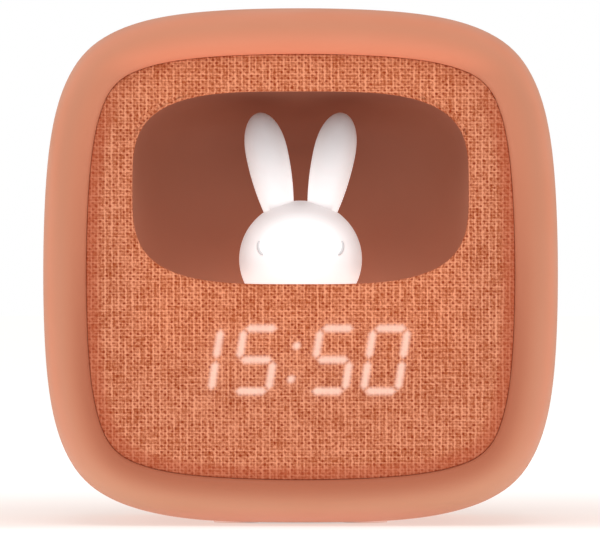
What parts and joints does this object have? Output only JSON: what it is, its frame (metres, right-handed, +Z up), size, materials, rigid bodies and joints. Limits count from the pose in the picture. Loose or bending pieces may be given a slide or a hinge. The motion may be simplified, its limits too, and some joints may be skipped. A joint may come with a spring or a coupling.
{
  "type": "alarm clock with night light",
  "caption": "Rounded square bedside alarm clock in a soft jacket, with a glowing rabbit lamp in a window niche and a slanted digital time shining through a cloth front.",
  "frame": {"origin": "centre of the footprint, on the plane that the feet stand on", "axes": "+Z up; the cloth front faces -Y; +X to the right as seen from the front"},
  "size_m": [0.136, 0.098, 0.1363],
  "materials": {
    "jacket_silicone": "soft matt silicone with a fine satin bloom",
    "housing_plastic": "moulded ABS, fine grain",
    "cover_plastic": "moulded ABS, fine grain",
    "panel_cloth": "plain weave stretched over the panel",
    "niche_plastic": "moulded, matt",
    "lamp_diffuser": "opal silicone, lit from inside",
    "circuit_board": "solder-masked board",
    "led_package": "LED packages",
    "display_film": "diffuser film",
    "reflector_plastic": "white moulded reflector",
    "dark_plastic": "dark moulded plastic",
    "battery_wrap": "shrink-wrapped cell",
    "foot_rubber": "soft rubber",
    "speaker_paper": "coated paper cone",
    "socket_steel": "tin-plated shell",
    "screw_steel": "zinc-plated screws",
    "key_plastic": "soft-touch key caps"
  },
  "bodies": {
    "body": {"silicone_jacket": "jacket_silicone", "front_housing": "housing_plastic", "rear_cover": "cover_plastic", "front_baffle": "housing_plastic", "grille_cloth": "panel_cloth", "light_niche": "niche_plastic", "rabbit_lamp": "lamp_diffuser", "lamp_collar": "housing_plastic", "night_light_board": "circuit_board", "night_light_leds": "led_package", "display_film": "display_film", "display_reflector": "reflector_plastic", "display_board": "circuit_board", "display_leds": "led_package", "main_board": "circuit_board", "board_parts": "dark_plastic", "key_board": "circuit_board", "tact_switches": "dark_plastic", "battery_holder": "housing_plastic", "battery_cell": "battery_wrap", "speaker_gasket": "foot_rubber", "speaker_frame": "dark_plastic", "speaker_cone": "speaker_paper", "speaker_magnet": "screw_steel", "usb_socket": "socket_steel", "power_switch": "dark_plastic", "cover_screws": "screw_steel", "board_screws": "screw_steel", "foot_pads": "foot_rubber"},
    "key_light": {"key_light": "key_plastic", "plunger_light": "dark_plastic"},
    "key_clock": {"key_clock": "key_plastic", "plunger_clock": "dark_plastic"},
    "key_alarm": {"key_alarm": "key_plastic", "plunger_alarm": "dark_plastic"},
    "key_plus": {"key_plus": "key_plastic", "plunger_plus": "dark_plastic"},
    "key_minus": {"key_minus": "key_plastic", "plunger_minus": "dark_plastic"},
    "slider": {"power_slider": "key_plastic"}
  },
  "joints": [
    {"name": "key_light_press", "type": "slide", "parent": "body", "child": "key_light", "axis": [0, -1, 0], "range_m": [0, 0.0004], "stiffness_N_per_m": 1500},
    {"name": "key_clock_press", "type": "slide", "parent": "body", "child": "key_clock", "axis": [0, -1, 0], "range_m": [0, 0.0004], "stiffness_N_per_m": 1500},
    {"name": "key_alarm_press", "type": "slide", "parent": "body", "child": "key_alarm", "axis": [0, -1, 0], "range_m": [0, 0.0004], "stiffness_N_per_m": 1500},
    {"name": "key_plus_press", "type": "slide", "parent": "body", "child": "key_plus", "axis": [0, -1, 0], "range_m": [0, 0.0004], "stiffness_N_per_m": 1500},
    {"name": "key_minus_press", "type": "slide", "parent": "body", "child": "key_minus", "axis": [0, -1, 0], "range_m": [0, 0.0004], "stiffness_N_per_m": 1500},
    {"name": "power_slide", "type": "slide", "parent": "body", "child": "slider", "axis": [1, 0, 0], "range_m": [0, 0.0025]}
  ]
}
